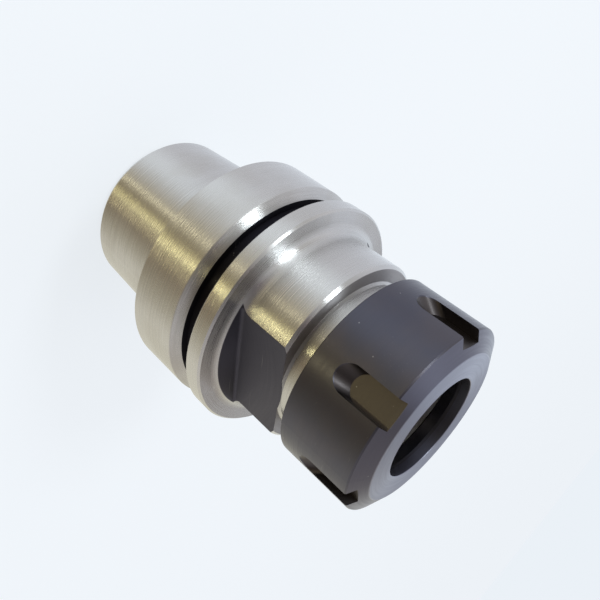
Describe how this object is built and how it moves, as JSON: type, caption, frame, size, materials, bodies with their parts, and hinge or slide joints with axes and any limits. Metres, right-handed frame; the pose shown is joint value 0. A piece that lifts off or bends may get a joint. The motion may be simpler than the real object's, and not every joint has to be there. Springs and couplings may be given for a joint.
{
  "type": "collet chuck holder",
  "caption": "Hollow-taper-shank tool holder with a gripper groove, wrench flats and a slotted clamping nut over a tapered collet seat.",
  "frame": {"origin": "centre of the gauge face, the flange's annular rear face that seats on the spindle nose, on the spindle axis", "axes": "+Z along the spindle axis from the taper shank to the clamping nut, +X normal to one wrench flat, +Y completes a right-handed frame"},
  "size_m": [0.063, 0.063, 0.1004],
  "materials": {
    "ground_steel": "fine-ground hardened steel, milled flats",
    "black_oxide_steel": "satin black oxide over turned steel",
    "ring_steel": "plain turned steel"
  },
  "bodies": {
    "chuck": {"chuck_body": "ground_steel"},
    "ring": {"extraction_ring": "ring_steel"},
    "nut": {"clamping_nut": "black_oxide_steel"}
  },
  "joints": [
    {"name": "nut_travel", "type": "slide", "parent": "chuck", "child": "ring", "axis": [0, 0, 1], "range_m": [-0.00091, 0.00751]},
    {"name": "nut_turn", "type": "hinge", "parent": "ring", "child": "nut", "pos_m": [0, 0, 0.0574], "axis": [0, 0, 1], "range_deg": [-216, 1800]}
  ],
  "couplings": [
    {"joint": "nut_travel", "follows": "nut_turn", "m_per_rad": 0.00023873}
  ]
}
